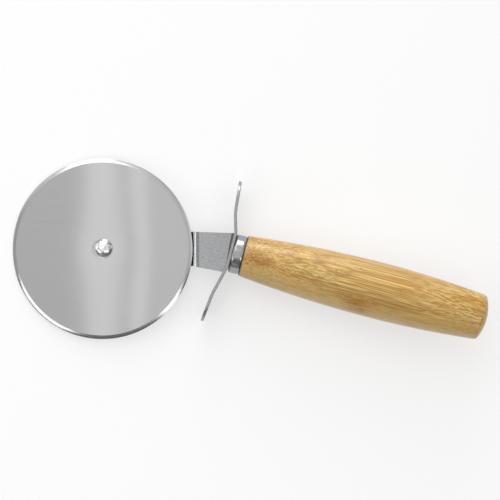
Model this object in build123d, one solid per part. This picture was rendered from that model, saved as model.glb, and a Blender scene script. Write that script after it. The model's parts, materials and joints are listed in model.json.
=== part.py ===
from build123d import *
import os
from math import atan2, cos, degrees, hypot, radians, sin, sqrt, tan

# A pizza wheel: a bevelled disc that spins on a shouldered rivet at the end of a flat arm, with
# a bent finger guard, a drawn ferrule and a turned bamboo handle. All lengths are millimetres
# and all angles are degrees.
#
# The wheel and the arm are drawn in the working frame: the wheel's centre is the origin, the
# wheel lies in XY, +X runs towards the handle and +Z comes out of the wheel's shown face.
# The guard, the ferrule and the handle are drawn in the neck frame: its origin is the middle
# of the ferrule's front face, its +X runs down the middle of the handle, and +Z is the same.
# Last of all the whole tool is tilted until it lies on a flat surface, as it does when it is
# put down, and its origin becomes the middle of its base.

# Cutting wheel
wheel_diameter = 90.0
wheel_thickness = 1.2
bevel_width = 1.85
rim_edge_thickness = 0.15
head_recess_diameter = 10.4
head_recess_depth = 0.1

# Axle rivet
rivet_head_diameter = 8.8
rivet_head_height = 2.0
rivet_head_land = 0.3
shank_diameter = 5.0
tenon_diameter = 4.0
tail_diameter = 7.6
tail_height = 1.1
tail_land = 0.25

# Spacer washer
washer_diameter = 11.0
washer_thickness = 0.8

# Fits: the wheel's bore on the shank, the wheel between its neighbours, and pieces that are fixed
running_clearance = 0.06
end_play = 0.05
snug_gap = 0.03

# Wheel arm: a round hub end behind the wheel, a step outside the rim, a flaring blade, a tang
arm_thickness = 2.0
arm_hub_diameter = 17.2
step_reach = 2.7
step_angle = 35.0
step_bend_radius = 4.0
upper_edge_fall = 2.0
lower_edge_fall = 11.0
tang_width = 8.0
tang_length = 52.0
tang_tip_chamfer = 2.5

# Dressing: the facet ground across the arm's shown face, up to the guard, widest at the top edge
dressing_width = 1.5
dressing_depth = 0.85

# Neck: where the ferrule's front face lies past the rim, and how far the handle droops
neck_length = 19.85
neck_drop = 2.03
handle_droop = 14.5

# Finger guard: a strip whose front face is bent forward at each root and back again further out
guard_thickness = 1.5
guard_width = 17.5
upper_root_height = 9.9
upper_inner_run = 10.2
upper_outer_run = 16.0
upper_inner_lean = 16.0
upper_outer_lean = 5.2
lower_root_height = 7.1
lower_inner_run = 15.6
lower_outer_run = 14.5
lower_inner_lean = 14.3
lower_outer_lean = 6.6
root_bend_radius = 5.0
wing_bend_radius = 30.0

# Ferrule
ferrule_diameter = 19.6
ferrule_length = 5.5
ferrule_wall = 0.6
ferrule_lip_radius = 1.2

# Handle: its widest place, the two seams between its plies, and its domed butt
handle_length = 125.5
wood_step = 0.45
belly_diameter = 28.4
belly_distance = 68.4
butt_diameter = 22.7
butt_dome_rise = 2.8
butt_edge_radius = 2.2
upper_seam_height = 8.9
lower_seam_depth = 3.5

# Glue round the tang
glue_film = 0.4
bore_end_gap = 2.5

# Cuts run past the faces that they open by this much
overrun = 5.0

wheel_radius = wheel_diameter / 2
shank_radius = shank_diameter / 2
tenon_radius = tenon_diameter / 2
ferrule_radius = ferrule_diameter / 2
belly_radius = belly_diameter / 2
butt_radius = butt_diameter / 2
handle_front_radius = ferrule_radius + wood_step

# Heights of the stack behind the wheel, whose middle plane is z = 0
wheel_back = -wheel_thickness / 2
hub_front = wheel_back - end_play - washer_thickness
hub_back = hub_front - arm_thickness
tail_end = hub_back - tail_height
head_seat = wheel_thickness / 2 - head_recess_depth + end_play
head_crown = head_seat + rivet_head_height

# Stations along the handle's own axis, from the ferrule's front face
handle_front = ferrule_length
belly_station = handle_front + belly_distance
handle_end = handle_front + handle_length
tang_end = tang_length
bore_end = tang_end + bore_end_gap
bore_radius = hypot(tang_width / 2, arm_thickness / 2) + glue_film

# Radius of the long arc that the handle's side follows in front of its belly
front_arc_radius = (belly_distance**2 + (belly_radius - handle_front_radius) ** 2) / (
    2 * (belly_radius - handle_front_radius)
)

neck = Location((wheel_radius + neck_length, -neck_drop, 0), (0, 0, -handle_droop))


def make_cutting_wheel():
    """Disc with a narrow bevel from both faces, bored for the rivet and coined under its head."""
    bore = shank_radius + running_clearance
    flat = wheel_radius - bevel_width
    face = wheel_thickness / 2
    edge = rim_edge_thickness / 2
    recess = head_recess_diameter / 2
    recess_floor = face - head_recess_depth
    section = Polyline(
        (bore, -face), (flat, -face), (wheel_radius, -edge),
        (wheel_radius, edge), (flat, face), (recess, face),
        (recess, recess_floor), (bore, recess_floor), close=True,
    )
    return revolve(Plane.XZ * make_face(section), Axis.Z)


def make_axle_rivet():
    """Shouldered rivet: domed head, shank for wheel and washer, tenon in the arm, closed tail."""
    head = rivet_head_diameter / 2
    tail = tail_diameter / 2
    outline = Curve() + [
        Line((0, tail_end), (0, head_crown)),
        TangentArc((0, head_crown), (head, head_seat + rivet_head_land), tangent=(1, 0)),
        Polyline(
            (head, head_seat + rivet_head_land), (head, head_seat),
            (shank_radius, head_seat), (shank_radius, hub_front),
            (tenon_radius, hub_front), (tenon_radius, hub_back),
            (tail, hub_back), (tail, hub_back - tail_land),
        ),
        TangentArc((0, tail_end), (tail, hub_back - tail_land), tangent=(1, 0)),
    ]
    return revolve(Plane.XZ * make_face(outline.edges()), Axis.Z)


def make_spacer_washer():
    """Flat ring on the shank that keeps the wheel off the arm."""
    ring = Circle(washer_diameter / 2) - Circle(shank_radius + running_clearance)
    return Pos(0, 0, hub_front) * extrude(ring, washer_thickness)


def wing_points(side, root_height, inner_run, inner_lean, outer_run, outer_lean):
    """Root, bend and tip of one wing's front face in the neck frame: side is 1 up or -1 down."""
    root = Vector(-guard_thickness, side * root_height)
    inner = Vector(-sin(radians(inner_lean)), side * cos(radians(inner_lean)))
    outer = Vector(-sin(radians(outer_lean)), side * cos(radians(outer_lean)))
    bend = root + inner * inner_run
    tip = bend + outer * outer_run
    return root, bend, tip, tip + outer * overrun


upper_root, upper_bend, upper_tip, upper_past = wing_points(
    1, upper_root_height, upper_inner_run, upper_inner_lean, upper_outer_run, upper_outer_lean
)
lower_root, lower_bend, lower_tip, lower_past = wing_points(
    -1, lower_root_height, lower_inner_run, lower_inner_lean, lower_outer_run, lower_outer_lean
)
guard_front_line = FilletPolyline(
    upper_past, upper_bend, upper_root, lower_root, lower_bend, lower_past,
    radius=[wing_bend_radius, root_bend_radius, root_bend_radius, wing_bend_radius],
)


def tang_slot(length, start):
    """Block that cuts the tang's slot through a neck piece, from a station down the axis."""
    slot = Box(
        length, tang_width + 2 * snug_gap, arm_thickness + 2 * snug_gap,
        align=(Align.MIN, Align.CENTER, Align.CENTER),
    )
    return Pos(start, 0, 0) * slot


def make_finger_guard():
    """Bent strip with full round ends and a slot that the tang goes through."""
    band = make_face(
        offset(guard_front_line, amount=guard_thickness, side=Side.LEFT, closed=True)
    )
    strip = extrude(band, guard_width / 2, both=True)
    span = upper_tip.Y - lower_tip.Y
    middle = (upper_tip.Y + lower_tip.Y) / 2
    outline = Plane.YZ * Pos(middle, 0) * SlotOverall(span, guard_width)
    reach = guard_thickness + upper_inner_run + upper_outer_run + lower_inner_run + lower_outer_run
    strip = strip & extrude(outline, reach, both=True)
    return strip - tang_slot(guard_thickness + 2 * overrun, -guard_thickness - overrun)


def make_dressing():
    """Wedge that the facet takes off the arm in front of the guard, in the neck frame."""
    height = upper_root_height + lower_root_height
    swing = degrees(atan2(dressing_width, height))
    dip = degrees(atan2(dressing_depth, dressing_width))
    wedge = Box(
        2 * dressing_width, 2 * height, arm_thickness,
        align=(Align.MIN, Align.CENTER, Align.MIN),
    )
    start = Pos(-guard_thickness, -lower_root_height, arm_thickness / 2)
    wedge = start * Rot(0, 0, swing) * Rot(0, dip, 0) * wedge
    before_guard = Box(
        overrun, 2 * height, 2 * arm_thickness, align=(Align.MAX, Align.CENTER, Align.CENTER)
    )
    return wedge & (Pos(-guard_thickness, 0, 0) * before_guard)


def make_wheel_arm():
    """Flat bar: hub end, step up past the rim, flare and facet at the guard, and the tang."""
    reach = neck.position.X + tang_end + overrun
    step_top = wheel_radius + step_reach
    hub_middle = hub_front - arm_thickness / 2
    step_foot = step_top + hub_middle / tan(radians(step_angle))
    bent_line = FilletPolyline(
        (-reach, hub_middle), (step_foot, hub_middle), (step_top, 0), (reach, 0),
        radius=step_bend_radius,
    )
    side = make_face(offset(bent_line, amount=arm_thickness / 2, side=Side.BOTH))
    side = extrude(Plane.XZ * side, arm_hub_diameter * 2 + reach / 2, both=True)

    hub = arm_hub_diameter / 2
    flare = neck.position.X + overrun - wheel_radius
    blade = make_face(Polyline(
        (0, hub), (wheel_radius, hub),
        (wheel_radius + flare, hub - flare * tan(radians(upper_edge_fall))),
        (wheel_radius + flare, -hub - flare * tan(radians(lower_edge_fall))),
        (wheel_radius, -hub), (0, -hub), close=True,
    ))
    behind_guard = make_face(Curve() + [
        guard_front_line,
        Polyline(lower_past, (reach, lower_past.Y), (reach, upper_past.Y), upper_past),
    ])
    tang = make_face(Polyline(
        (-guard_thickness - overrun, tang_width / 2),
        (tang_end - tang_tip_chamfer, tang_width / 2),
        (tang_end, tang_width / 2 - tang_tip_chamfer),
        (tang_end, tang_tip_chamfer - tang_width / 2),
        (tang_end - tang_tip_chamfer, -tang_width / 2),
        (-guard_thickness - overrun, -tang_width / 2), close=True,
    ))
    plan = Circle(hub) + blade - neck * behind_guard + neck * tang
    bar = side & extrude(plan, reach, both=True)
    hole = Pos(0, 0, hub_front) * Cylinder(tenon_radius + snug_gap, 2 * arm_thickness + overrun)
    return bar - hole - neck * make_dressing()


def make_ferrule():
    """Drawn cup with a rounded front lip, pierced for the tang."""
    inside = ferrule_radius - ferrule_wall
    section = Curve() + [
        Line((0, 0), (0, ferrule_radius - ferrule_lip_radius)),
        TangentArc(
            (0, ferrule_radius - ferrule_lip_radius), (ferrule_lip_radius, ferrule_radius),
            tangent=(0, 1),
        ),
        Polyline(
            (ferrule_lip_radius, ferrule_radius), (ferrule_length, ferrule_radius),
            (ferrule_length, inside), (ferrule_wall, inside), (ferrule_wall, 0), (0, 0),
        ),
    ]
    cup = revolve(make_face(section.edges()), Axis.X)
    return cup - tang_slot(ferrule_wall + 2 * overrun, -overrun)


def make_handle_blank():
    """Turned handle in one piece: spigot, long swelling sides, domed butt, bored for the tang."""
    spigot_front = ferrule_wall + snug_gap
    spigot_radius = ferrule_radius - ferrule_wall - snug_gap
    butt_station = handle_end - butt_dome_rise
    section = make_face(Curve() + [
        Polyline(
            (handle_end, 0), (spigot_front, 0), (spigot_front, spigot_radius),
            (handle_front, spigot_radius), (handle_front, handle_front_radius),
        ),
        TangentArc(
            (belly_station, belly_radius), (handle_front, handle_front_radius), tangent=(-1, 0)
        ),
        TangentArc((belly_station, belly_radius), (butt_station, butt_radius), tangent=(1, 0)),
        TangentArc((handle_end, 0), (butt_station, butt_radius), tangent=(0, 1)),
    ])
    butt_corner = section.vertices().sort_by(Axis.X)[-2]
    section = fillet(butt_corner, butt_edge_radius)
    return revolve(section, Axis.X) - down_axis(bore_radius, -overrun, bore_end)


def down_axis(radius, start, end):
    """Round bar along the handle's axis between two stations."""
    bar = Cylinder(radius, end - start, align=(Align.CENTER, Align.CENTER, Align.MIN))
    return Pos(start, 0, 0) * Rot(0, 90, 0) * bar


def make_handle_plies():
    """The turned handle cut along its two seams into upper, middle and lower plies."""
    blank = make_handle_blank()
    top = belly_radius + overrun
    levels = [
        (upper_seam_height, top),
        (-lower_seam_depth, upper_seam_height),
        (-top, -lower_seam_depth),
    ]
    plies = []
    for low, high in levels:
        slab = Box(
            handle_end + overrun, high - low, 2 * top,
            align=(Align.MIN, Align.MIN, Align.CENTER),
        )
        plies.append(blank & (Pos(0, low, 0) * slab))
    return plies


def make_tang_glue():
    """Glue that fills the bore round the tang, from behind the ferrule's wall to past the tip."""
    plug = down_axis(bore_radius - snug_gap, ferrule_wall + snug_gap, bore_end - snug_gap)
    return plug


def table_gap(pitch):
    """How far the handle reaches below the rivet's tail when the tool is pitched, in radians."""
    tail = tail_diameter / 2
    dome = tail_height - tail_land
    dome_radius = (tail**2 + dome**2) / (2 * dome)
    tail_reach = (-tail_end - dome_radius) * cos(pitch) + dome_radius
    along = -sin(pitch) * cos(radians(handle_droop))
    across = sqrt(1 - along**2)
    belly_x = neck.position.X + belly_station * cos(radians(handle_droop))
    handle_reach = (
        -sin(pitch) * belly_x - (front_arc_radius - belly_radius) * across + front_arc_radius
    )
    return handle_reach - tail_reach


def lying_pitch():
    """Pitch, in radians, that brings rivet tail and handle down to one flat surface."""
    low, high = 0, radians(handle_droop) / 2
    for _ in range(50):
        middle = (low + high) / 2
        if table_gap(middle) > 0:
            low = middle
        else:
            high = middle
    return low


wheel_arm = make_wheel_arm()
upper_ply, middle_ply, lower_ply = make_handle_plies()
pieces = {
    "cutting_wheel": make_cutting_wheel(),
    "axle_rivet": make_axle_rivet(),
    "spacer_washer": make_spacer_washer(),
    "wheel_arm": wheel_arm,
    "finger_guard": neck * make_finger_guard(),
    "ferrule": neck * make_ferrule(),
    "handle_upper_ply": neck * upper_ply,
    "handle_middle_ply": neck * middle_ply,
    "handle_lower_ply": neck * lower_ply,
    "tang_glue": neck * make_tang_glue() - wheel_arm,
}

# Tilt the tool until it lies on the table, then put the origin at the middle of its base
pitch = lying_pitch()
tilt = Rot(0, -degrees(pitch), 0)
box = Compound([tilt * piece for piece in pieces.values()]).bounding_box()
lying = Pos(-box.center().X, -box.center().Y, -box.min.Z) * tilt

os.makedirs("parts", exist_ok=True)
for name, piece in pieces.items():
    placed = lying * piece
    solid = placed.solids()[0] if len(placed.solids()) == 1 else placed
    export_step(solid, "parts/" + name + ".step")

# Places that other people need: the wheel's axis and a point on its shown face
hub = (lying * Location((0, 0, 0))).position
spin_axis = (lying * Location((0, 0, 1))).position - hub
face_middle_radius = (wheel_radius - bevel_width + head_recess_diameter / 2) / 2
face_point = (lying * Location((-face_middle_radius, 0, wheel_thickness / 2))).position
print("pitch in degrees", round(degrees(pitch), 3))
print("overall size", box.size)
print("wheel centre", hub, "spin axis", spin_axis)
print("point on the wheel's face", face_point)
print("lowest point of the guard", round((lying * pieces["finger_guard"]).bounding_box().min.Z, 3))
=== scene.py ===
# %% [markdown]
# # A pizza wheel, dressed for its picture
# The tool is a thin steel disc that spins on a rivet at the end of a flat arm. The arm carries a bent
# finger guard and ends in a tang, which is glued into a turned bamboo handle behind a bright ferrule. The
# solids come from a CAD pack. This lesson gives them the edges, the small marks and the finishes that a
# camera sees.

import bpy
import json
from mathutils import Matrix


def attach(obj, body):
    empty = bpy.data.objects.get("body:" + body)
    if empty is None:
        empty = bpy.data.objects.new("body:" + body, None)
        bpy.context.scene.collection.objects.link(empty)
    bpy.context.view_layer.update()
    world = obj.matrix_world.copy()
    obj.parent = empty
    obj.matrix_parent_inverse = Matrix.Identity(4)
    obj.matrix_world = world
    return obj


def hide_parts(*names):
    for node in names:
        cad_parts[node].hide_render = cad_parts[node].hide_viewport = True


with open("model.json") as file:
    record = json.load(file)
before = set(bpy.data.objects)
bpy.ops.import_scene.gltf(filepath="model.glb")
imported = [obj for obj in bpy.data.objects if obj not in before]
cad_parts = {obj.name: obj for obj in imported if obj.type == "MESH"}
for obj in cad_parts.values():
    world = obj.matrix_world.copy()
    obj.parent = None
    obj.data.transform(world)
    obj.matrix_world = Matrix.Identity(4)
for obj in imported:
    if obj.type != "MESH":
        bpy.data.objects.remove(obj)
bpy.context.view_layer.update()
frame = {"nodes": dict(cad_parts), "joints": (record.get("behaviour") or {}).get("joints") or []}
print("solids:", ", ".join(sorted(frame["nodes"])))

# %% [markdown]
# The mesh tools come with Blender, and so does the noise that makes small unevenness. Blender counts in
# metres, and a maker of small tools thinks in millimetres, so MM turns one into the other.

# %% Bring in the tools
import json
from math import atan2, cos, degrees, hypot, pi, radians, sin, sqrt, tan

import bmesh
import bpy
from mathutils import Matrix, Vector, noise

MM = 0.001
print("Blender", bpy.app.version_string)

# %% [markdown]
# ## Two frames to work in
# The tool lies on a table on its rivet tail and its handle, so the disc is tilted by about five degrees.
# It would be hard to draw every piece tilted. A maker clamps each piece straight in a vice, and so do we:
# the wheel's frame has its origin in the middle of the disc and its Z along the rivet, and the neck's
# frame starts at the ferrule's front face and has its X down the middle of the handle. A matrix then
# carries each finished piece to its place.

# %% The wheel's frame and the neck's frame
NECK_LENGTH = 64.85 * MM
NECK_DROP = 2.03 * MM
HANDLE_DROOP = radians(14.5)

spin = frame["joints"][0]
rivet_line = Vector(spin["axis"]).normalized()
across = Vector((0, 1, 0))
along = across.cross(rivet_line).normalized()
WHEEL = Matrix.Translation(spin["pos_m"]) @ Matrix((along, across, rivet_line)).transposed().to_4x4()
NECK = WHEEL @ Matrix.Translation((NECK_LENGTH, -NECK_DROP, 0)) @ Matrix.Rotation(-HANDLE_DROOP, 4, "Z")
print("the disc is tilted by", round(degrees(rivet_line.angle((0, 0, 1))), 2), "degrees")

# %% [markdown]
# ## How a turned piece is made
# The disc, the rivet, the ferrule and the handle are all round. On a lathe the tool follows an outline
# while the work spins, and a mesh can be made in the same way: an outline of points is copied round an
# axis, and neighbours are joined by four-sided faces. This gives even faces that take a highlight
# cleanly, which a cut or a sculpted mesh would not. No real edge is a perfect corner, so the outline's
# corners are rounded first.

# %% Round the corners of an outline
def rounded(corners, steps=4):
    """Outline through corners of (along, radius, corner radius), with an arc at each rounded one."""
    points = []
    for i, (a, r, fillet) in enumerate(corners):
        here = Vector((a, r))
        if fillet == 0:
            points.append(here)
            continue
        before = (Vector(corners[i - 1][:2]) - here).normalized()
        after = (Vector(corners[(i + 1) % len(corners)][:2]) - here).normalized()
        half = before.angle(after) / 2
        centre = here + (before + after).normalized() * fillet / sin(half)
        reach = fillet / tan(half)
        first = here + before * reach - centre
        turn = first.angle_signed(here + after * reach - centre)
        for k in range(steps + 1):
            points.append(centre + Matrix.Rotation(-turn * k / steps, 2) @ first)
    return points


def dome(rim, crown, steps):
    """Arc from rim to crown, two (along, radius) points of a spherical cap whose crown lies on the axis."""
    side = 1 if crown[0] > rim[0] else -1
    rise, reach = abs(crown[0] - rim[0]), rim[1]
    ball = (rise**2 + reach**2) / (2 * rise)
    middle = crown[0] - side * ball
    start = atan2(reach, side * (rim[0] - middle))
    angles = [start * (1 - k / steps) for k in range(steps + 1)]
    return [Vector((middle + side * ball * cos(t), ball * sin(t))) for t in angles]


corner_test = rounded([(0, 0, 0), (0, 1, 0.2), (1, 1, 0)])
print("a rounded corner has", len(corner_test) - 2, "points")

# %% [markdown]
# With the outline ready, the lathe itself is short. Each point of the outline becomes a ring of vertices,
# and a point on the axis becomes a single one. Faces then join every ring to the next, and the last ring
# to the first, which closes the skin. A screw modifier could do the same, but here the rings stay in hand
# for the hollows and dents that come later.

# %% Turn an outline on the lathe
ON_AXIS = 1e-9


def turned(outline, segments, axis):
    """Mesh of a closed outline of (along, radius) points turned round the X or the Z axis."""
    bm = bmesh.new()
    rings = []
    for a, r in outline:
        ring = []
        for k in range(1 if r < ON_AXIS else segments):
            t = 2 * pi * k / segments
            round_place = (r * cos(t), r * sin(t))
            place = (a, *round_place) if axis == "X" else (*round_place, a)
            ring.append(bm.verts.new(place))
        rings.append(ring)
    for i, ring in enumerate(rings):
        following = rings[(i + 1) % len(rings)]
        for k in range(segments):
            corners = [ring[k % len(ring)], ring[(k + 1) % len(ring)]]
            corners += [following[(k + 1) % len(following)], following[k % len(following)]]
            corners = list(dict.fromkeys(corners))
            if len(corners) > 2:
                bm.faces.new(corners)
    bmesh.ops.recalc_face_normals(bm, faces=bm.faces)
    return bm


print("the lathe is ready")

# %% [markdown]
# ## How a piece joins the tool
# A finished mesh becomes an object in its own frame. It then rides on a body of the CAD model, so that it
# moves with the joint, and it stands for the solid it was made from. Faces are shaded smooth, and only
# edges that turn by more than a set angle stay crisp.
# Before a mesh leaves its vice, each vertex is marked with its place there, in millimetres, so that the
# finishes know where on the piece they are.

# %% Make an object of a mesh and fix it to its body
CRISP_ANGLE = radians(34)


def fit_piece(name, bm, home, body, node, finishes):
    """Object from a mesh drawn in the frame home; it rides on body and stands for the CAD node."""
    mark = bm.verts.layers.float_vector.new("place")
    for vert in bm.verts:
        vert[mark] = vert.co / MM
    bm.transform(home)
    for edge in bm.edges:
        edge.smooth = edge.calc_face_angle(0) < CRISP_ANGLE
    for face in bm.faces:
        face.smooth = True
    mesh = bpy.data.meshes.new(name)
    bm.to_mesh(mesh)
    bm.free()
    for finish in finishes:
        mesh.materials.append(finish)
    piece = bpy.data.objects.new(name, mesh)
    bpy.context.scene.collection.objects.link(piece)
    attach(piece, body)
    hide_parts(node)
    print(name, "has", len(mesh.polygons), "faces")
    return piece


print("edges that turn by more than", round(degrees(CRISP_ANGLE)), "degrees stay crisp")

# %% [markdown]
# ## How a finish is made
# Every finish here is worked out from the place on the piece, with noise patterns, and none is a picture.
# The place is the mark that each vertex got in its vice, and millimetres suit brush marks and fibres
# well. The two CAD solids that stay as they are have no marks, so they use their own coordinates. A few
# short helpers keep the node trees readable.

# %% Short helpers for node trees
def new_finish(name, marked=True):
    """Node material with a Principled shader, and an output with the place on the piece in millimetres."""
    finish = bpy.data.materials.new(name)
    finish.use_nodes = True
    tree = finish.node_tree
    tree.nodes.clear()
    output = tree.nodes.new("ShaderNodeOutputMaterial")
    shader = tree.nodes.new("ShaderNodeBsdfPrincipled")
    tree.links.new(shader.outputs["BSDF"], output.inputs["Surface"])
    if marked:
        place = node(tree, "ShaderNodeAttribute", attribute_name="place").outputs["Vector"]
    else:
        spot = tree.nodes.new("ShaderNodeTexCoord").outputs["Object"]
        place = vector(tree, "SCALE", spot, 1 / MM)
    return finish, tree, shader, place


def node(tree, kind, **values):
    """Node of a kind: each value sets the input socket of that name, or else the setting of that name."""
    made = tree.nodes.new(kind)
    for key, value in values.items():
        if not hasattr(made, key) or key[0].isupper():
            fill(tree, made.inputs[key.replace("_", " ")], value)
        else:
            setattr(made, key, value)
    return made


def fill(tree, socket, value):
    """Links an output to a socket, or sets the socket to a plain value."""
    if isinstance(value, bpy.types.NodeSocket):
        tree.links.new(value, socket)
    else:
        socket.default_value = value


def maths(tree, operation, *values):
    """Result of a Math node on one, two or three values."""
    made = tree.nodes.new("ShaderNodeMath")
    made.operation = operation
    for socket, value in zip(made.inputs, values):
        fill(tree, socket, value)
    return made.outputs[0]


def vector(tree, operation, one, other):
    """Result of a Vector Math node on two vectors, or on a vector and a number to scale it by."""
    made = tree.nodes.new("ShaderNodeVectorMath")
    made.operation = operation
    fill(tree, made.inputs[0], one)
    fill(tree, made.inputs["Scale" if operation == "SCALE" else 1], other)
    return made.outputs["Value" if operation == "DISTANCE" else "Vector"]


def ramp(tree, value, low, high, to_low=0.0, to_high=1.0):
    """Value brought smoothly from the range low to high into the range to_low to to_high."""
    made = node(tree, "ShaderNodeMapRange", interpolation_type="SMOOTHSTEP", Value=value, From_Min=low,
                From_Max=high, To_Min=to_low, To_Max=to_high)
    return made.outputs[0]


def mixed(tree, share, one, other, blend="MIX"):
    """Colour one with a share of colour other blended in."""
    made = tree.nodes.new("ShaderNodeMix")
    made.data_type = "RGBA"
    made.blend_type = blend
    for index, value in ((0, share), (6, one), (7, other)):
        fill(tree, made.inputs[index], (*value, 1) if isinstance(value, tuple) else value)
    return made.outputs[2]


def grain(tree, place, stretch, detail=2.0, roughness=0.5):
    """Noise whose features are about stretch millimetres long in X, Y and Z."""
    shrunk = vector(tree, "DIVIDE", place, stretch)
    made = node(tree, "ShaderNodeTexNoise", Vector=shrunk, Scale=1.0, Detail=detail, Roughness=roughness)
    return made.outputs["Fac"]


def relief(tree, shader, height, depth):
    """Bumps the shader by a height pattern that is depth millimetres deep."""
    bump = node(tree, "ShaderNodeBump", Height=height, Strength=1.0, Distance=depth * MM)
    tree.links.new(bump.outputs["Normal"], shader.inputs["Normal"])


print("helpers ready")

# %% [markdown]
# ## Steel finishes
# Each steel piece on the tool was finished in its own way, and this is most of what tells them apart in
# the picture. The disc's faces were brushed in straight lines on a belt. The scratches all run one way,
# so a reflection is drawn out across them and stays fairly sharp along them. In Blender that is the
# Anisotropic setting with a tangent that is fixed to the piece, so the brushing turns with the wheel.

# %% Brushed face of the disc
BRUSH_SLOPE = radians(-4)
BRUSH_HAIR, BRUSH_STREAK, BRUSH_DEPTH = (22.0, 0.16, 4.0), (60.0, 1.4, 9.0), 0.002


def brushed_steel(name, colour, roughness):
    """Sheet brushed in straight lines along the piece's X, a few degrees off."""
    finish, tree, shader, place = new_finish(name)
    sloped = node(tree, "ShaderNodeVectorRotate", rotation_type="Z_AXIS", Vector=place, Angle=-BRUSH_SLOPE)
    hairs = grain(tree, sloped.outputs[0], BRUSH_HAIR, detail=4.0, roughness=0.7)
    streaks = grain(tree, sloped.outputs[0], BRUSH_STREAK)
    share = maths(tree, "MULTIPLY_ADD", hairs, 0.14, maths(tree, "MULTIPLY_ADD", streaks, 0.1, 0.38))
    dull, bright = tuple(c * 0.75 for c in colour), tuple(c * 1.25 for c in colour)
    fill(tree, shader.inputs["Base Color"], mixed(tree, share, dull, bright))
    fill(tree, shader.inputs["Roughness"], ramp(tree, hairs, 0.3, 0.7, roughness * 0.9, roughness * 1.15))
    shader.inputs["Metallic"].default_value = 1.0
    shader.inputs["Anisotropic"].default_value = 0.95
    across_brush = WHEEL.to_3x3() @ Vector((-sin(BRUSH_SLOPE), cos(BRUSH_SLOPE), 0))
    tangent = node(tree, "ShaderNodeVectorTransform", vector_type="VECTOR", convert_from="OBJECT",
                   convert_to="WORLD", Vector=across_brush)
    tree.links.new(tangent.outputs[0], shader.inputs["Tangent"])
    relief(tree, shader, hairs, BRUSH_DEPTH)
    return finish


wheel_face = brushed_steel("wheel_face_brushed", (0.447, 0.447, 0.446), 0.15)
print("made", wheel_face.name)

# %% [markdown]
# The bevel is ground until it is nearly a mirror, and the ferrule is drawn through a die, which leaves it
# bright too. The washer is plain and duller. All three are the same kind of surface: soft cloudy patches,
# with marks of the tool that made it on top. So one function makes them, and only the sizes of patches
# and marks differ.

# %% Bright steels
def bright_steel(name, colour, roughness, mottle, scratch, scratch_depth, marked=True):
    """Bright steel: mottle is the size of its soft patches, scratch that of its marks, in millimetres."""
    finish, tree, shader, place = new_finish(name, marked)
    clouds = grain(tree, place, mottle, detail=3.0)
    marks = grain(tree, place, scratch, detail=3.0, roughness=0.6)
    share = maths(tree, "MULTIPLY_ADD", clouds, 0.7, maths(tree, "MULTIPLY_ADD", marks, 0.4, -0.05))
    fill(tree, shader.inputs["Base Color"], mixed(tree, share, tuple(c * 0.84 for c in colour), colour))
    fill(tree, shader.inputs["Roughness"], ramp(tree, marks, 0.3, 0.7, roughness * 0.8, roughness * 1.25))
    shader.inputs["Metallic"].default_value = 1.0
    relief(tree, shader, marks, scratch_depth)
    return finish


bevel_ground = bright_steel(
    "bevel_ground", (0.55, 0.55, 0.545), 0.16,
    mottle=(9.0, 9.0, 9.0), scratch=(1.2, 1.2, 0.08), scratch_depth=0.001,
)
ferrule_drawn = bright_steel(
    "ferrule_drawn", (0.40, 0.40, 0.405), 0.23,
    mottle=(2.0, 3.0, 3.0), scratch=(3.0, 0.22, 0.22), scratch_depth=0.003,
)
washer_plain = bright_steel(
    "washer_plain", (0.50, 0.50, 0.50), 0.34,
    mottle=(2.5, 2.5, 2.5), scratch=(0.3, 0.3, 0.3), scratch_depth=0.003, marked=False,
)
print("made", bevel_ground.name, ferrule_drawn.name, "and", washer_plain.name)

# %% [markdown]
# The rivet's head was struck by a hammer while it was closed. The blows leave its crown clean and bright.
# Lower down, at the skirt, less of the dark scale was knocked off, and it stays in the pits. The noise
# that makes the pits also says where the scale lies, so the dark spots sit in the hollows and not beside
# them.

# %% Hammered steel
SCALE_SIZE, SCALE_DEPTH = (0.7, 0.7, 0.7), 0.05
CLEAN_RADIUS, SKIRT_RADIUS = 3.0, 4.4


def hammered_steel(name, bright, pit, roughness):
    """Bright hammered steel: the crown is clean, and dark scale is left in the pits towards the skirt."""
    finish, tree, shader, place = new_finish(name)
    scale = grain(tree, place, SCALE_SIZE, detail=3.0, roughness=0.7)
    off_axis = vector(tree, "DISTANCE", vector(tree, "MULTIPLY", place, (1.0, 1.0, 0.0)), (0.0, 0.0, 0.0))
    skirt = ramp(tree, off_axis, CLEAN_RADIUS, SKIRT_RADIUS, 0.0, -0.11)
    clean = ramp(tree, maths(tree, "ADD", scale, skirt), 0.34, 0.5)
    fill(tree, shader.inputs["Base Color"], mixed(tree, clean, pit, bright))
    fill(tree, shader.inputs["Roughness"], ramp(tree, scale, 0.3, 0.6, roughness * 1.6, roughness))
    shader.inputs["Metallic"].default_value = 1.0
    relief(tree, shader, scale, SCALE_DEPTH)
    return finish


rivet_bright = hammered_steel("rivet_hammered", (0.82, 0.82, 0.815), (0.24, 0.235, 0.23), 0.2)
print("made", rivet_bright.name)

# %% [markdown]
# The arm and the guard were tumbled in a drum of small stones before the tool was put together. The
# stones knock against the steel from all sides, so there is no line of brushing, only a satin skin of
# fine speckles. The surface spreads a reflection evenly, and a moderate roughness does that. The speckles
# are kept faint, because the eye reads strong ones as a cast surface.

# %% Satin steel
SPECKLE_SIZE, SPECKLE_DEPTH, CLOUD_SIZE = (1.5, 0.5, 0.5), 0.008, (5.0, 4.0, 4.0)


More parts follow.
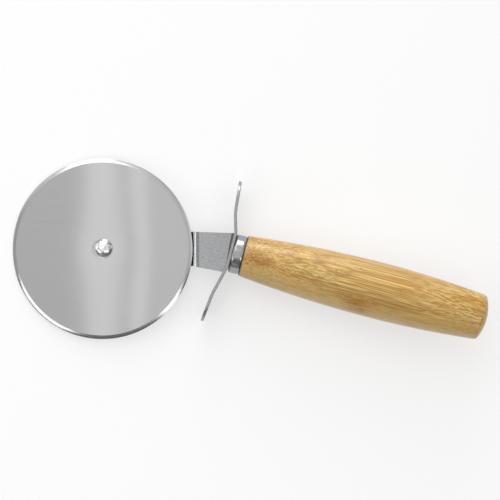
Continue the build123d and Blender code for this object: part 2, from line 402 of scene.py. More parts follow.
def satin_steel(name, colour, roughness):
    """Tumbled sheet: fine speckles over faint cloudy patches."""
    finish, tree, shader, place = new_finish(name)
    speckle = grain(tree, place, SPECKLE_SIZE, detail=3.0, roughness=0.65)
    clouds = grain(tree, place, CLOUD_SIZE)
    share = maths(tree, "MULTIPLY_ADD", clouds, 0.5, ramp(tree, speckle, 0.34, 0.66, -0.25, 0.75))
    skin = mixed(tree, share, tuple(c * 0.82 for c in colour), colour)
    fill(tree, shader.inputs["Base Color"], skin)
    fill(tree, shader.inputs["Roughness"], ramp(tree, speckle, 0.3, 0.7, roughness * 1.12, roughness * 0.88))
    shader.inputs["Metallic"].default_value = 1.0
    relief(tree, shader, speckle, SPECKLE_DEPTH)
    return finish


arm_satin = satin_steel("arm_satin", (0.405, 0.41, 0.416), 0.23)
guard_satin = satin_steel("guard_satin", (0.385, 0.385, 0.39), 0.33)
print("made", arm_satin.name, "and", guard_satin.name)

# %% [markdown]
# ## The disc
# The disc is punched from sheet 1.2 mm thick, ground to a bevel from both faces, and coined with a
# shallow ring where the rivet's head sits. The bevel ends in a second, steeper edge that does the
# cutting. All of this is one outline for the lathe. Nothing ground by hand is quite sharp, so every
# corner is rounded, the flat's by more than the edge's. The bevel's faces get the ground finish and the
# rest the brushed one, so one mesh carries two materials.

# %% Turn the disc
WHEEL_RADIUS, FLAT_RADIUS = 44.99, 43.15
HALF_SHEET, HALF_EDGE, HALF_SHOULDER = 0.6, 0.06, 0.33
SHOULDER_RADIUS = 44.25
BORE_RADIUS, RECESS_RADIUS, RECESS_FLOOR_RADIUS, RECESS_DEPTH = 2.56, 5.2, 4.2, 0.1
BORE_ROUND, FLAT_ROUND, SHOULDER_ROUND, EDGE_ROUND = 0.05, 0.4, 0.6, 0.03
RECESS_ROUND, RECESS_BORE_ROUND = 0.5, 0.02
RECESS_FLOOR = HALF_SHEET - RECESS_DEPTH
disc_outline = rounded([
    (-HALF_SHEET, BORE_RADIUS, BORE_ROUND), (-HALF_SHEET, FLAT_RADIUS, FLAT_ROUND),
    (-HALF_SHOULDER, SHOULDER_RADIUS, SHOULDER_ROUND), (-HALF_EDGE, WHEEL_RADIUS, EDGE_ROUND),
    (HALF_EDGE, WHEEL_RADIUS, EDGE_ROUND), (HALF_SHOULDER, SHOULDER_RADIUS, SHOULDER_ROUND),
    (HALF_SHEET, FLAT_RADIUS, FLAT_ROUND), (HALF_SHEET, RECESS_RADIUS, RECESS_ROUND),
    (RECESS_FLOOR, RECESS_FLOOR_RADIUS, RECESS_ROUND), (RECESS_FLOOR, BORE_RADIUS, RECESS_BORE_ROUND),
])
disc = turned([p * MM for p in disc_outline], segments=360, axis="Z")
for face in disc.faces:
    middle = face.calc_center_median()
    face.material_index = int(hypot(middle.x, middle.y) > FLAT_RADIUS * MM)
fit_piece("wheel_disc", disc, WHEEL, "wheel", "cutting_wheel", [wheel_face, bevel_ground])

# %% [markdown]
# ## The rivet
# One shouldered rivet holds the wheel: a domed head in front, a shank that the wheel spins on, a thinner
# end through the arm, and a tail closed behind it. The head was set with a hammer, which left shallow
# dents and soft ridges between them, and spread the head a little to one side. The whole rivet is one
# outline for the lathe, from the tail through the two shank widths to the head.

# %% Turn the rivet
HEAD_RADIUS, HEAD_SEAT, HEAD_LAND, HEAD_CROWN = 4.4, 0.55, 0.85, 2.55
SHANK_RADIUS, TENON_RADIUS = 2.5, 2.0
HUB_FRONT, HUB_BACK = -1.45, -3.45
TAIL_RADIUS, TAIL_LAND, TAIL_END = 3.8, -3.7, -4.55
rivet_outline = dome((TAIL_LAND, TAIL_RADIUS), (TAIL_END, 0), steps=14)[::-1]
rivet_outline += rounded([
    (HUB_BACK, TAIL_RADIUS, 0), (HUB_BACK, TENON_RADIUS, 0), (HUB_FRONT, TENON_RADIUS, 0),
    (HUB_FRONT, SHANK_RADIUS, 0), (HEAD_SEAT, SHANK_RADIUS, 0), (HEAD_SEAT, HEAD_RADIUS, 0),
])
rivet_outline += dome((HEAD_LAND, HEAD_RADIUS), (HEAD_CROWN, 0), steps=30)
rivet = turned([p * MM for p in rivet_outline], segments=120, axis="Z")

print("the rivet is", round(HEAD_CROWN - TAIL_END, 2), "mm long")

# %% [markdown]
# The dents are pushed into the mesh itself, because a bump texture would leave the dome's outline too
# perfect. Each one is a smooth dish that fades out at its rim, and a fine noise on top makes the ridges
# between them uneven. Last, the finished head is moved sideways over its shank.

# %% Dent the rivet's head
HEAD_SHIFT = Vector((0.6, 0.45, 0)) * MM
RIDGE_SIZE, RIDGE_DEPTH, OVERRUN = 0.8, 0.05, 0.01
# Each dent: place across the head, its radius and its depth, in millimetres
HAMMER_DENTS = [
    (0.1, 1.2, 3.2, 0.22), (-1.7, -1.2, 1.1, 0.06), (2.1, -1.5, 1.1, 0.08), (2.8, 1.4, 1.5, 0.08),
    (-2.6, 1.3, 1.6, 0.12), (0.5, -3.2, 1.1, 0.08), (1.4, 3.3, 1.0, 0.08), (-0.8, 0.8, 0.8, 0.05),
    (0.9, -0.3, 0.7, 0.06), (0.2, -1.1, 0.9, -0.05),
]
for vert in rivet.verts:
    if vert.co.z > HEAD_LAND * MM:
        for x, y, radius, depth in HAMMER_DENTS:
            near = hypot(vert.co.x / MM - x, vert.co.y / MM - y) / radius
            vert.co.z -= depth * MM * max(0, 1 - near**2) ** 2
        vert.co.z -= RIDGE_DEPTH * MM * abs(noise.noise(vert.co / (RIDGE_SIZE * MM)))
    off_axis = hypot(vert.co.x, vert.co.y)
    if vert.co.z > (HEAD_SEAT - OVERRUN) * MM and off_axis > (SHANK_RADIUS + OVERRUN) * MM:
        vert.co += HEAD_SHIFT
fit_piece("rivet_hammered_head", rivet, WHEEL, "handle", "axle_rivet", [rivet_bright])

# %% [markdown]
# ## The arm and the guard
# These two were cut from sheet and bent in a press. Their shapes in the CAD model are right, and what
# they lack is the soft edge that tumbling gives. So each mesh is copied into a new piece, its flat faces
# are joined up, and a narrow bevel runs along every sharp edge. Modelling them again from nothing would
# gain nothing.

# %% Copy a pressed piece and soften its edges
WELD_DISTANCE, FLAT_ANGLE = 0.001, radians(0.5)


def tumbled_copy(node_name, home, width):
    """Mesh of a CAD node in the frame home, with its sharp edges rounded by width millimetres."""
    bm = bmesh.new()
    bm.from_mesh(frame["nodes"][node_name].data)
    bm.transform(home.inverted())
    bmesh.ops.remove_doubles(bm, verts=bm.verts, dist=WELD_DISTANCE * MM)
    bmesh.ops.dissolve_limit(bm, angle_limit=FLAT_ANGLE, verts=bm.verts, edges=bm.edges)
    sharp = [e for e in bm.edges if e.is_manifold and e.calc_face_angle(0) > CRISP_ANGLE]
    bmesh.ops.bevel(
        bm, geom=sharp, offset=width * MM, segments=3, profile=0.5, affect="EDGES", clamp_overlap=True,
    )
    bmesh.ops.recalc_face_normals(bm, faces=bm.faces)
    return bm


print("faces within", round(degrees(FLAT_ANGLE), 1), "degrees of each other count as one flat")

# %% [markdown]
# A smooth edge has one drawback. Blender shades between the directions of the corners, and a big flat
# face shares its corners with the narrow rounded strip beside it. The flat would then look faintly
# curved, and its reflection would slide from light to dark. So each corner's direction is an average in
# which a face counts by its area. The flat wins, and the turn of the light stays in the narrow strip, as
# on real tumbled steel.

# %% Keep the flats flat
TUMBLED_ARM_EDGE, TUMBLED_GUARD_EDGE = 0.25, 0.3


def keep_flats_flat(piece):
    """Weight the shading normals by area, so that a narrow rounded edge doesn't bend them on a flat."""
    mesh = piece.data
    sums = [Vector((0, 0, 0)) for _ in mesh.vertices]
    for face in mesh.polygons:
        for index in face.vertices:
            sums[index] += face.normal * face.area
    mesh.normals_split_custom_set_from_vertices([total.normalized() for total in sums])


arm = tumbled_copy("wheel_arm", WHEEL, TUMBLED_ARM_EDGE)
keep_flats_flat(fit_piece("arm_tumbled", arm, WHEEL, "handle", "wheel_arm", [arm_satin]))
guard = tumbled_copy("finger_guard", NECK, TUMBLED_GUARD_EDGE)
keep_flats_flat(
    fit_piece("guard_tumbled", guard, NECK, "handle", "finger_guard", [guard_satin])
)

# %% [markdown]
# ## The ferrule
# A ferrule is a short cup drawn from thin sheet. It has a round front lip, and its rear rim is crimped
# inwards until it grips the wood. Drawing never leaves a perfect cylinder, and a bright surface shows
# this at once: its highlight wavers. The mesh gets hollows a few hundredths of a millimetre deep for
# that. The straight barrel is cut into short rings first, because a hollow needs vertices that it can
# move.

# %% Turn the ferrule
FERRULE_RADIUS, FERRULE_LENGTH, FERRULE_WALL = 9.8, 5.5, 0.6
FERRULE_LIP, TANG_HOLE = 1.2, 4.3
CRIMP_START, CRIMP_DEPTH, CRIMP_ROUND = 4.5, 0.34, 1.6
CUT_ROUND, INSIDE_ROUND, WALL_ROUND = 0.08, 0.05, 0.1
RING_STEP, RING_COUNT = 0.3, 9
HOLLOW_SIZE, HOLLOW_DEPTH, HOLLOW_SEED = 3.2, 0.05, Vector((7, 3, 1))
INSIDE_RADIUS = FERRULE_RADIUS - FERRULE_WALL
ferrule_outline = rounded([
    (0, TANG_HOLE, WALL_ROUND), (0, FERRULE_RADIUS, FERRULE_LIP), (CRIMP_START, FERRULE_RADIUS, CRIMP_ROUND),
    (FERRULE_LENGTH, FERRULE_RADIUS - CRIMP_DEPTH, CUT_ROUND), (FERRULE_LENGTH, INSIDE_RADIUS, INSIDE_ROUND),
    (FERRULE_WALL, INSIDE_RADIUS, WALL_ROUND), (FERRULE_WALL, TANG_HOLE, WALL_ROUND),
], steps=8)
barrel = [Vector((FERRULE_LIP + k * RING_STEP, FERRULE_RADIUS)) for k in range(1, RING_COUNT + 1)]
# A millionth more or less, because an arc's last point lies only nearly in its place
lip_end, skin = FERRULE_LIP + 1e-6, FERRULE_RADIUS - 1e-6
on_lip = [i for i, p in enumerate(ferrule_outline) if p.x < lip_end and p.y > skin]
ferrule_outline[max(on_lip) + 1:max(on_lip) + 1] = barrel
ferrule = turned([p * MM for p in ferrule_outline], segments=180, axis="X")
for vert in ferrule.verts:
    if hypot(vert.co.y, vert.co.z) > (FERRULE_RADIUS - FERRULE_WALL / 2) * MM:
        hollow = 0.5 + 0.5 * noise.noise(vert.co / (HOLLOW_SIZE * MM) + HOLLOW_SEED)
        shrink = 1 - HOLLOW_DEPTH * hollow / FERRULE_RADIUS
        vert.co.y *= shrink
        vert.co.z *= shrink
fit_piece("ferrule_drawn_cup", ferrule, NECK, "handle", "ferrule", [ferrule_drawn])

# %% [markdown]
# ## The bamboo
# Bamboo is a bundle of hard fibres in softer, paler tissue. The fibres run straight down the handle.
# Where the turned side lies along them they show as long fine streaks, and where it slopes towards an end
# it cuts across them, so they show as short dashes. A picture wrapped round the handle could not do this.
# A solid pattern can: it is worked out at each point in space, as if the handle were cut from the real
# stuff, so the streaks and dashes come by themselves. The blank is glued from three plies, and each one
# was cut from another part of a stem, so each has its own tone.

# %% Follow the fibres
FIBRE_MIDDLE, FIBRE_REACH, FIBRE_RISE = 80.0, 75.0, 4.6
SWAY_SIZE, SWIRL_SIZE, SWIRL_WIDTH = (34.0, 7.0, 7.0), (6.0, 3.0, 3.0), 3.0
SEED_STEP = (37.0, 11.0, 5.0)


def own_stem(tree, place, seed):
    """Place moved by a step for each seed, so that each ply is cut from another part of the pattern."""
    return vector(tree, "ADD", place, tuple(seed * step for step in SEED_STEP))


def wander(tree, place, size, detail):
    """Push in X, Y and Z, at most half a millimetre each way, that changes over about size millimetres."""
    shrunk = vector(tree, "DIVIDE", place, size)
    pushes = node(tree, "ShaderNodeTexNoise", Vector=shrunk, Scale=1.0, Detail=detail)
    return vector(tree, "SUBTRACT", pushes.outputs["Color"], (0.5, 0.5, 0.5))


def fibre_path(tree, place, station, seed, knot):
    """Place told along the fibres, which wander, rise towards both ends and swirl near the knot."""
    moved = own_stem(tree, place, seed)
    # The sway is 0.9 mm wide at the ferrule, 0.7 mm in the middle and 2.9 mm at the butt
    end = ramp(tree, station, 85.0, 122.0, 0.0, 2.2)
    front = ramp(tree, station, 8.0, 45.0, 0.9, 0.7)
    sway = vector(tree, "SCALE", wander(tree, moved, SWAY_SIZE, 2.0), maths(tree, "ADD", end, front))
    swirl_width = maths(tree, "MULTIPLY", knot, SWIRL_WIDTH)
    swirl = vector(tree, "SCALE", wander(tree, moved, SWIRL_SIZE, 1.0), swirl_width)
    path = vector(tree, "ADD", vector(tree, "ADD", moved, sway), swirl)

    far = maths(tree, "DIVIDE", maths(tree, "SUBTRACT", station, FIBRE_MIDDLE), FIBRE_REACH)
    rise = maths(tree, "MULTIPLY", maths(tree, "POWER", maths(tree, "ABSOLUTE", far), 4.0), -FIBRE_RISE)
    return vector(tree, "ADD", path, node(tree, "ShaderNodeCombineXYZ", Z=rise).outputs[0])


print("the fibres rise by", round(FIBRE_RISE * (FIBRE_MIDDLE / FIBRE_REACH) ** 4, 1), "mm at the ferrule")

# %% [markdown]
# Between the fibres lies soft tissue in long bands from pale straw to gold. A knot, where a branch once
# grew, is darker and grainier. In a stem's wall the fibres are dense near the outside and sparse inside,
# and the line between the two waves along the handle and sags in its middle. The tissue is told as a
# colour, and the knot and the dense side as shares from 0 to 1, so that they can be mixed later.

# %% Soft tissue, the knot and the dense side
BAND_SIZE, PATCH_SIZE = (90.0, 1.5, 1.5), (30.0, 7.0, 7.0)
KNOT_SIZE, KNOT_CORE, KNOT_EDGE = (10.0, 5.0, 40.0), 0.35, 1.25
KNOT_GRAIN = (9.0, 1.5, 1.5)
WAVE_SIZE, WAVE_HEIGHT = (26.0, 60.0, 60.0), 7.0
PATTERN_MIDDLE = 68.0


def knot_share(tree, place, knot_place):
    """1 in the middle of the knot and 0 away from it."""
    knot_middle = tuple(p / size for p, size in zip(knot_place, KNOT_SIZE))
    off_knot = vector(tree, "DISTANCE", vector(tree, "DIVIDE", place, KNOT_SIZE), knot_middle)
    return ramp(tree, off_knot, KNOT_EDGE, KNOT_CORE)


def soft_tissue(tree, place, path, seed, pale, golden):
    """Colour of the tissue in long pale and golden bands, with softer patches."""
    bands = grain(tree, own_stem(tree, place, seed), BAND_SIZE)
    patches = grain(tree, path, PATCH_SIZE)
    tone = maths(tree, "MULTIPLY_ADD", patches, 0.4, maths(tree, "MULTIPLY", bands, 0.9))
    return mixed(tree, ramp(tree, tone, 0.44, 0.92), pale, golden)


def off_middle(tree, station):
    """Distance along the handle from the middle of the pattern."""
    return maths(tree, "ABSOLUTE", maths(tree, "SUBTRACT", station, PATTERN_MIDDLE))


def dense_share(tree, place, station, height):
    """1 where the fibres are dense and a quarter below a wavy line, where they are sparse."""
    wave = grain(tree, place, WAVE_SIZE, detail=3.0)
    # The line lies 8.5 mm below the handle's middle line, and only 3.5 mm below it towards both ends
    sag = ramp(tree, off_middle(tree, station), 12.0, 52.0, -8.5, -3.5)
    line = maths(tree, "MULTIPLY_ADD", maths(tree, "SUBTRACT", wave, 0.5), WAVE_HEIGHT, sag)
    return ramp(tree, maths(tree, "SUBTRACT", height, line), -1.0, 1.4, 0.25, 1.0)


print("along the handle a knot fades out", KNOT_EDGE * KNOT_SIZE[0], "mm from its middle")

# %% [markdown]
# The fibres themselves are dark spindles. Cells of a Voronoi pattern, stretched along the path, give one
# spindle each, and each cell's random colour says how strong it is, so no two are alike. Coarse bundles,
# fine bundles and a stretched noise for the long streaks are laid over each other, because real bamboo
# shows all three.

# %% Coarse and fine fibres
BUNDLE_LENGTH, COARSE_BUNDLE, FINE_BUNDLE = 80.0, 0.72, 0.38
STREAK_SIZE = (80.0, 0.45, 0.45)


def fibre_bundles(tree, path, thickness):
    """Dark spindles, one to a cell: 1 in the middle of a strong bundle and 0 between bundles."""
    shrunk = vector(tree, "DIVIDE", path, (BUNDLE_LENGTH, thickness, thickness))
    cells = node(tree, "ShaderNodeTexVoronoi", Vector=shrunk, Scale=1.0)
    strength = node(tree, "ShaderNodeSeparateColor", Color=cells.outputs["Color"]).outputs[0]
    spindle = ramp(tree, cells.outputs["Distance"], 0.55, 0.2)
    return maths(tree, "MULTIPLY", spindle, ramp(tree, strength, 0.1, 0.8, 0.3, 1.0))


def fibre_amount(tree, path, dense):
    """How much of the fibres' colour shows, from coarse bundles, long streaks and fine bundles."""
    streaks = ramp(tree, grain(tree, path, STREAK_SIZE, detail=3.0, roughness=0.6), 0.45, 0.57)
    coarse = maths(tree, "MULTIPLY", fibre_bundles(tree, path, COARSE_BUNDLE), 0.6)
    fine = maths(tree, "MULTIPLY", fibre_bundles(tree, path, FINE_BUNDLE), 0.9)
    amount = maths(tree, "MAXIMUM", coarse, maths(tree, "MULTIPLY", streaks, 0.72))
    return maths(tree, "MULTIPLY", maths(tree, "MAXIMUM", amount, fine), dense)


print("coarse bundles are", COARSE_BUNDLE, "mm thick and fine ones", FINE_BUNDLE, "mm")

# %% [markdown]
# A lathe cuts across the fibres wherever the side slopes. At the ferrule the wood ends in a small step of
# end grain, painted near-black there as painted shade of the gap. In other places the tool opens a vessel
# and leaves a pinhole. And near both ends each fibre is cut so short that it shows as a fleck.

# %% The marks of cutting, and painted shade at the ferrule
# Painted shade: the wood turns near-black over these stations behind the ferrule's front face
JOINT_SHADE_START, JOINT_SHADE_END = 5.8, 6.2
JOINT_SHADE_COLOUR, PINHOLE_COLOUR = (0.035, 0.025, 0.02), (0.10, 0.035, 0.01)
PINHOLE_CELL, HAIR_SIZE, FLECK_SIZE = (9.0, 6.0, 6.0), (45.0, 0.35, 0.35), (2.6, 0.45, 0.45)


def pinholes_and_joint_shade(tree, place, station, coloured):
    """The colour given, painted near-black as painted shade where the wood meets the ferrule, and with
    pinholes.
    """
    # Painted shade of the gap at the ferrule, near-black
    joint_shade = ramp(tree, station, JOINT_SHADE_END, JOINT_SHADE_START, 0.0, 0.95)
    coloured = mixed(tree, joint_shade, coloured, JOINT_SHADE_COLOUR)
    shrunk = vector(tree, "DIVIDE", place, PINHOLE_CELL)
    vessels = node(tree, "ShaderNodeTexVoronoi", Vector=shrunk, Scale=1.0)
    pinhole = ramp(tree, vessels.outputs["Distance"], 0.075, 0.035)
    return mixed(tree, maths(tree, "MULTIPLY", pinhole, 0.8), coloured, PINHOLE_COLOUR)


def light_and_dark(tree, path, station, hairs):
    """Grey that the colour is multiplied by: fine hairs, and flecks that grow towards both ends."""
    flecks = maths(tree, "SUBTRACT", grain(tree, path, FLECK_SIZE, detail=1.0), 0.5)
    cut_across = ramp(tree, off_middle(tree, station), 22.0, 55.0, 0.1, 0.75)
    shade = maths(tree, "MULTIPLY_ADD", flecks, cut_across, ramp(tree, hairs, 0.3, 0.7, 0.84, 1.14))
    return node(tree, "ShaderNodeCombineColor", Red=shade, Green=shade, Blue=shade).outputs[0]


print("the dark step ends", JOINT_SHADE_END, "mm behind the ferrule's front face")

# %% [markdown]
# Now the parts come together. The handle was oiled and rubbed, so a soft coat lies over duller wood. On
# the butt the fibres end in the surface and drink the oil, so that face is less polished and gets a
# finish of its own. The three plies share one recipe and differ in their tones, in their part of the
# pattern and in where their knot lies.

# %% The bamboo of each ply
FIBRE_RELIEF = 0.02
KNOT_FIBRE_SHARE = 0.65


def bamboo(name, pale, golden, fibre, seed, knot_place, polished=True):
    """Oiled bamboo: soft tissue, a knot, the fibres, the marks of cutting and painted shade at the ferrule,
    all worked out in space.
    """
    finish, tree, shader, place = new_finish(name)
    split = node(tree, "ShaderNodeSeparateXYZ", Vector=place)
    station, height = split.outputs["X"], split.outputs["Y"]
    knot = knot_share(tree, place, knot_place)
    path = fibre_path(tree, place, station, seed, knot)
    amount = fibre_amount(tree, path, dense_share(tree, place, station, height))

    toasted = maths(tree, "MULTIPLY", knot, ramp(tree, grain(tree, path, KNOT_GRAIN), 0.36, 0.6, 0.3, 0.95))
    knot_colour = tuple((1 - KNOT_FIBRE_SHARE) * g + KNOT_FIBRE_SHARE * f for g, f in zip(golden, fibre))
    ground = mixed(tree, toasted, soft_tissue(tree, place, path, seed, pale, golden), knot_colour)
    coloured = pinholes_and_joint_shade(tree, place, station, mixed(tree, amount, ground, fibre))

    hairs = grain(tree, path, HAIR_SIZE)
    grey = light_and_dark(tree, path, station, hairs)
    fill(tree, shader.inputs["Base Color"], mixed(tree, 1.0, coloured, grey, "MULTIPLY"))
    fill(tree, shader.inputs["Roughness"], ramp(tree, hairs, 0.3, 0.7, 0.5, 0.65))
    shader.inputs["Specular IOR Level"].default_value = 0.15
    shader.inputs["Coat Weight"].default_value = 0.9 if polished else 0.5
    shader.inputs["Coat Roughness"].default_value = 0.25
    relief(tree, shader, maths(tree, "MULTIPLY_ADD", amount, -0.6, hairs), FIBRE_RELIEF)
    return finish


# Each ply: pale tissue, golden tissue, fibres, seed and the knot's place in the neck's frame
BAMBOO = {
    "upper": ((0.765, 0.59, 0.225), (0.64, 0.40, 0.085), (0.35, 0.125, 0.006), 1, (118, 16, 0)),
    "middle": ((0.745, 0.56, 0.20), (0.60, 0.355, 0.062), (0.31, 0.10, 0.005), 2, (12, 0, 10)),
    "lower": ((0.67, 0.465, 0.18), (0.60, 0.37, 0.095), (0.37, 0.145, 0.012), 3, (67, -9, 10)),
}
bamboo_sides = {ply: bamboo(f"bamboo_{ply}_side", *tones) for ply, tones in BAMBOO.items()}
bamboo_ends = {ply: bamboo(f"bamboo_{ply}_end", *tones, polished=False) for ply, tones in BAMBOO.items()}
print("made", len(bamboo_sides) + len(bamboo_ends), "bamboo finishes")

# %% [markdown]
# ## The handle
# The handle is turned in one piece from the glued blank: a spigot that goes into the ferrule, a long
# swelling side, a fullest place past the middle and a domed butt. So its mesh is turned in one piece too,
# bored for the tang, and only then sawn along the two seams. Sanding by hand leaves it a few hundredths
# off round.

# %% Turn the blank
SPIGOT_FRONT, SPIGOT_RADIUS, SPIGOT_ROUND = 0.63, 9.17, 0.2
HANDLE_FRONT, FRONT_RADIUS, FRONT_ROUND = 5.5, 10.25, 0.4
BELLY_STATION, BELLY_RADIUS = 73.9, 14.2
BUTT_STATION, BUTT_RADIUS, BUTT_ROUND = 128.2, 11.35, 2.2
HANDLE_END, BORE_END, TANG_BORE = 130.99, 54.5, 4.523
# The rounded butt edge takes the place of the last outline points before it and the first ones of the dome
ROUND_REACH, DOME_START = 1.6, 5


def swelling(start, end, steps):
    """Arc from start to end, two (along, radius) points, that is level at end."""
    rise, reach = end[1] - start[1], end[0] - start[0]
    arc = (reach**2 + rise**2) / (2 * rise)
    stations = [start[0] + reach * k / steps for k in range(steps + 1)]
    return [Vector((s, end[1] - arc + sqrt(arc**2 - (s - end[0]) ** 2))) for s in stations]


belly = (BELLY_STATION, BELLY_RADIUS)
front_side = swelling((HANDLE_FRONT, FRONT_RADIUS), belly, steps=60)
back_side = swelling((2 * BELLY_STATION - BUTT_STATION, BUTT_RADIUS), belly, steps=48)
back_side = [Vector((2 * BELLY_STATION - p.x, p.y)) for p in back_side[::-1]]
butt_dome = dome((BUTT_STATION, BUTT_RADIUS), (HANDLE_END, 0), steps=24)
whole_side = front_side[1:] + back_side[1:-1]
profile = [(p.x, p.y, 0) for p in whole_side if p.x <= BUTT_STATION - ROUND_REACH]
profile += [(BUTT_STATION, BUTT_RADIUS, BUTT_ROUND)] + [(p.x, p.y, 0) for p in butt_dome[DOME_START:]]
blank_outline = rounded([
    (BORE_END, 0, 0), (BORE_END, TANG_BORE, 0), (SPIGOT_FRONT, TANG_BORE, 0),
    (SPIGOT_FRONT, SPIGOT_RADIUS, SPIGOT_ROUND), (HANDLE_FRONT, SPIGOT_RADIUS, 0),
    (HANDLE_FRONT, FRONT_RADIUS, FRONT_ROUND), *profile,
], steps=8)
print("the blank's outline has", len(blank_outline), "points")

# %% [markdown]
# Each ply is a turned blank of its own with everything above and below its seams cut away and the cuts
# closed. All three blanks get the same hollows from the same noise, so the plies still meet without a
# step. The faces of the butt take the duller end finish of their ply.

# %% Saw the blank along its seams
UPPER_SEAM, LOWER_SEAM = 8.9, -3.5
SANDED_SIZE, SANDED_SHARE, END_START = 14, 0.004, BUTT_STATION + 0.2
SIDE_START, SIDE_RADIUS, SAW_GAP = HANDLE_FRONT - 0.1, TANG_BORE + 1, 1e-7


def sawn_ply(low, high):
    """Part of the blank between two heights across the handle, in millimetres, with closed cuts."""
    bm = turned([p * MM for p in blank_outline], segments=200, axis="X")
    for vert in bm.verts:
        if vert.co.x > SIDE_START * MM and hypot(vert.co.y, vert.co.z) > SIDE_RADIUS * MM:
            hollow = 0.5 + 0.5 * noise.noise(vert.co / (SANDED_SIZE * MM))
            shrink = 1 - SANDED_SHARE * hollow
            vert.co.y *= shrink
            vert.co.z *= shrink
    for height, side in ((low, -1), (high, 1)):
        if height is None:
            continue
        cut = bmesh.ops.bisect_plane(
            bm, geom=bm.verts[:] + bm.edges[:] + bm.faces[:], dist=SAW_GAP, plane_co=(0, height * MM, 0),
            plane_no=(0, side, 0), clear_outer=True,
        )
        seam = [e for e in cut["geom_cut"] if isinstance(e, bmesh.types.BMEdge)]
        bmesh.ops.triangle_fill(bm, edges=seam, use_beauty=True, normal=(0, side, 0))
    bmesh.ops.recalc_face_normals(bm, faces=bm.faces)
    return bm


PLIES = {"upper": (UPPER_SEAM, None), "middle": (LOWER_SEAM, UPPER_SEAM), "lower": (None, LOWER_SEAM)}
for ply, (low, high) in PLIES.items():
    sawn = sawn_ply(low, high)
    for face in sawn.faces:
        face.material_index = int(face.calc_center_median().x > END_START * MM)
    finishes = [bamboo_sides[ply], bamboo_ends[ply]]
    fit_piece(f"ply_{ply}", sawn, NECK, "handle", f"handle_{ply}_ply", finishes)

# %% [markdown]
# ## The hidden pieces
# The washer keeps the disc off the arm, and the glue fills the bore round the tang. Their solids are
# right as they are, so they only get a finish. Glue sets amber and slightly cloudy, and stays soft to the
# eye.

# %% Finish the washer and the glue
def set_glue(name):
    """Cured glue: amber, cloudy, with a few small bubbles."""
    finish, tree, shader, place = new_finish(name, marked=False)
    clouds = grain(tree, place, (2.0, 2.0, 2.0), detail=3.0)
    fill(tree, shader.inputs["Base Color"], mixed(tree, clouds, (0.42, 0.32, 0.16), (0.58, 0.48, 0.30)))
    fill(tree, shader.inputs["Roughness"], ramp(tree, clouds, 0.3, 0.7, 0.30, 0.5))
    bubbles = node(tree, "ShaderNodeTexVoronoi", Vector=place, Scale=0.6)
    relief(tree, shader, ramp(tree, bubbles.outputs["Distance"], 0.05, 0.25), 0.05)
    return finish


glue_cured = set_glue("glue_cured")
for node_name, finish in (("spacer_washer", washer_plain), ("tang_glue", glue_cured)):
    mesh = frame["nodes"][node_name].data
    mesh.materials.clear()
    mesh.materials.append(finish)
    print(node_name, "wears", finish.name)

# %% [markdown]
# ## The table
# The table is a wide pale sheet. To a camera it should read as white, and still hold a soft shadow under
# the tool. Part of its light therefore comes from a soft glow that only camera, glossy and transmission
# rays see, so that the metal mirrors the same white, and the rest from the lamps, so that what stands in
# their way leaves a shadow.

# %% Lay the table
TABLE_RADIUS, TABLE_GAP = 25, 0.00005
PLAIN_WHITE, SHADED_WHITE, GLOW = 0.8, 0.42, 0.56


def pale_table(name):
    """White table whose glow is seen by the camera and in reflections, and whose shadows stay."""
    finish = bpy.data.materials.new(name)
    finish.use_nodes = True
    tree = finish.node_tree
    tree.nodes.clear()
    output = tree.nodes.new("ShaderNodeOutputMaterial")
    rays = tree.nodes.new("ShaderNodeLightPath").outputs
    seen = maths(tree, "MAXIMUM", rays["Is Camera Ray"], rays["Is Glossy Ray"])
    seen = maths(tree, "MAXIMUM", seen, rays["Is Transmission Ray"])
    plain = node(tree, "ShaderNodeBsdfDiffuse", Color=(PLAIN_WHITE, PLAIN_WHITE, PLAIN_WHITE, 1))
    shadowed = node(tree, "ShaderNodeBsdfDiffuse", Color=(SHADED_WHITE, SHADED_WHITE, SHADED_WHITE, 1))
    glow = node(tree, "ShaderNodeEmission", Color=(1, 1, 1, 1), Strength=GLOW)
    both = tree.nodes.new("ShaderNodeAddShader")
    tree.links.new(shadowed.outputs[0], both.inputs[0])
    tree.links.new(glow.outputs[0], both.inputs[1])
    switch = tree.nodes.new("ShaderNodeMixShader")
    tree.links.new(seen, switch.inputs[0])
    tree.links.new(plain.outputs[0], switch.inputs[1])
    tree.links.new(both.outputs[0], switch.inputs[2])
    tree.links.new(switch.outputs[0], output.inputs["Surface"])
    return finish


table_bm = bmesh.new()
bmesh.ops.create_circle(table_bm, cap_ends=True, segments=96, radius=TABLE_RADIUS)
table_mesh = bpy.data.meshes.new("table")
table_bm.to_mesh(table_mesh)
table_bm.free()
table_mesh.materials.append(pale_table("table_white"))
table = bpy.data.objects.new("table", table_mesh)
table.location = (0, 0, -TABLE_GAP)
bpy.context.scene.collection.objects.link(table)
print("the table is", 2 * TABLE_RADIUS, "m wide")

# %% [markdown]
# ## The light
# Steel has hardly a colour of its own. What it shows is the room. The studio here is brighter behind the
# table than in front of it, so a dome like the rivet's head is bright on top with a dark crescent below.
# The room's level depends on the direction alone, and soft ramps join its parts, because a hard edge
# would show in the steel as a line.

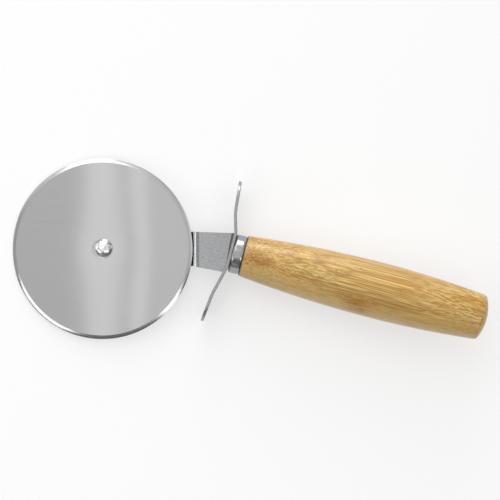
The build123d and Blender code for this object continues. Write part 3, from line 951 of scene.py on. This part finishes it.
# %% Light the room
def studio_room(back, back_right, front, left, right, top):
    """World whose level goes from front, at -Y, through left or right to back, at +Y, with top overhead."""
    world = bpy.data.worlds.new("studio_room")
    bpy.context.scene.world = world
    world.use_nodes = True
    tree = world.node_tree
    tree.nodes.clear()
    output = tree.nodes.new("ShaderNodeOutputWorld")
    direction = tree.nodes.new("ShaderNodeTexCoord").outputs["Generated"]
    split = node(tree, "ShaderNodeSeparateXYZ", Vector=direction)
    sides = ramp(tree, split.outputs["X"], -0.4, 0.4, left, right)
    around = ramp(tree, split.outputs["Y"], -0.24, -0.06, front, sides)
    behind = ramp(tree, split.outputs["X"], 0.1, 0.42, back, back_right)
    around = ramp(tree, split.outputs["Y"], 0.1, 0.5, around, behind)
    level = ramp(tree, split.outputs["Z"], cos(radians(30)), cos(radians(12)), around, top)
    glow = node(tree, "ShaderNodeBackground", Color=(1, 1, 1, 1), Strength=level)
    tree.links.new(glow.outputs[0], output.inputs["Surface"])
    print(world.name, "goes from", front, "in front to", back, "behind")


studio_room(back=1.05, back_right=0.66, front=0.20, left=0.54, right=1.08, top=0.63)

# %% [markdown]
# Six soft lamps stand round the table: a tall one behind with a bright low one near it, a low one at the
# left, a faint low one in front, and two higher ones in front, at the left and at the right, that catch
# the bevel. Each stand is found from the disc by a bearing and a height, as a star is found in the sky.
# The power of a lamp follows from its size, so a radiance of 1 looks white, however large the lamp is.

# %% Put up the lamps
def soft_lamp(name, stand, width, height, radiance):
    """Lamp on a stand, a matrix, shining down the stand's -Z; radiance 1 is one that looks white."""
    lamp = bpy.data.lights.new(name, "AREA")
    lamp.shape = "RECTANGLE"
    lamp.size, lamp.size_y = width, height
    lamp.energy = radiance * pi * width * height
    holder = bpy.data.objects.new(name, lamp)
    holder.matrix_world = stand
    bpy.context.scene.collection.objects.link(holder)
    holder.visible_camera = False
    print(name, "shines with", round(lamp.energy, 3), "W")


def facing_disc(bearing, height, distance):
    """Stand that faces the disc from a bearing and a height in degrees; bearing 90 is behind."""
    a, e = radians(bearing), radians(height)
    away = Vector((cos(a) * cos(e), sin(a) * cos(e), sin(e)))
    return WHEEL @ Matrix.Translation(distance * away) @ away.to_track_quat("Z", "Y").to_matrix().to_4x4()


# Each lamp: bearing and height in degrees, distance, width and height in metres, and radiance
LAMPS = [
    ("lamp_behind", 102, 48, 0.95, 0.38, 0.70, 1.55),
    ("lamp_behind_low", 80, 16, 1.00, 0.44, 0.46, 4.2),
    ("lamp_left_low", 180, 29, 0.90, 0.50, 0.22, 2.4),
    ("lamp_front_low", 253, 25, 0.95, 0.32, 0.32, 0.42),
    ("lamp_front_left", 222, 52, 0.90, 0.40, 0.36, 2.15),
    ("lamp_front_right", 318, 52, 0.90, 0.19, 0.38, 2.45),
]
for name, bearing, height, distance, wide, tall, radiance in LAMPS:
    soft_lamp(name, facing_disc(bearing, height, distance), wide, tall, radiance)

# %% [markdown]
# Five dimmer strips hang overhead, each one across the line from the disc to the handle. The disc mirrors
# four of them as the soft upright bands that brushed steel shows, and the fifth hangs over the arm. Each
# strip has its place along that line, its width and its radiance.

# %% Hang the strips
STRIP_HEIGHT, STRIP_LENGTH = 500 * MM, 500 * MM
# Each strip: its middle and its width in millimetres, and its radiance
STRIPS = [
    ("strip_far", -95, 88, 0.24),
    ("strip_left", -31.5, 31, 0.72),
    ("strip_middle", 0, 15, 0.88),
    ("strip_right", 34, 44, 0.42),
    ("strip_arm", 86, 58, 0.42),
]
for name, middle, width, radiance in STRIPS:
    stand = WHEEL @ Matrix.Translation((middle * MM, 0, STRIP_HEIGHT))
    soft_lamp(name, stand, width * MM, STRIP_LENGTH, radiance)

# %% [markdown]
# ## The camera
# The picture was taken from straight above the disc, along the line of the rivet, so the disc is a true
# circle in it. A long lens from 1.2 m keeps the thick handle and the thin disc at one scale. The camera's
# frame is the wheel's frame moved along the handle and up.

# %% Set up the camera
CAMERA_ALONG, CAMERA_ACROSS, CAMERA_HEIGHT = 73.65 * MM, -0.55 * MM, 1.2
PICTURE_WIDTH = 249.5 * MM
camera_data = bpy.data.cameras.new("camera")
camera_data.sensor_width = 36
camera_data.lens = camera_data.sensor_width * CAMERA_HEIGHT / PICTURE_WIDTH
camera = bpy.data.objects.new("camera", camera_data)
bpy.context.scene.collection.objects.link(camera)
camera.matrix_world = WHEEL @ Matrix.Translation((CAMERA_ALONG, CAMERA_ACROSS, CAMERA_HEIGHT))
bpy.context.scene.camera = camera
bpy.context.scene.view_settings.view_transform = "Standard"
print("lens", round(camera_data.lens, 1), "mm")

# %% [markdown]
# ## Check and finish
# The dressed tool must be no bigger than the solids it was made from.

# ## The end

# %% The end
print("the script ends here")
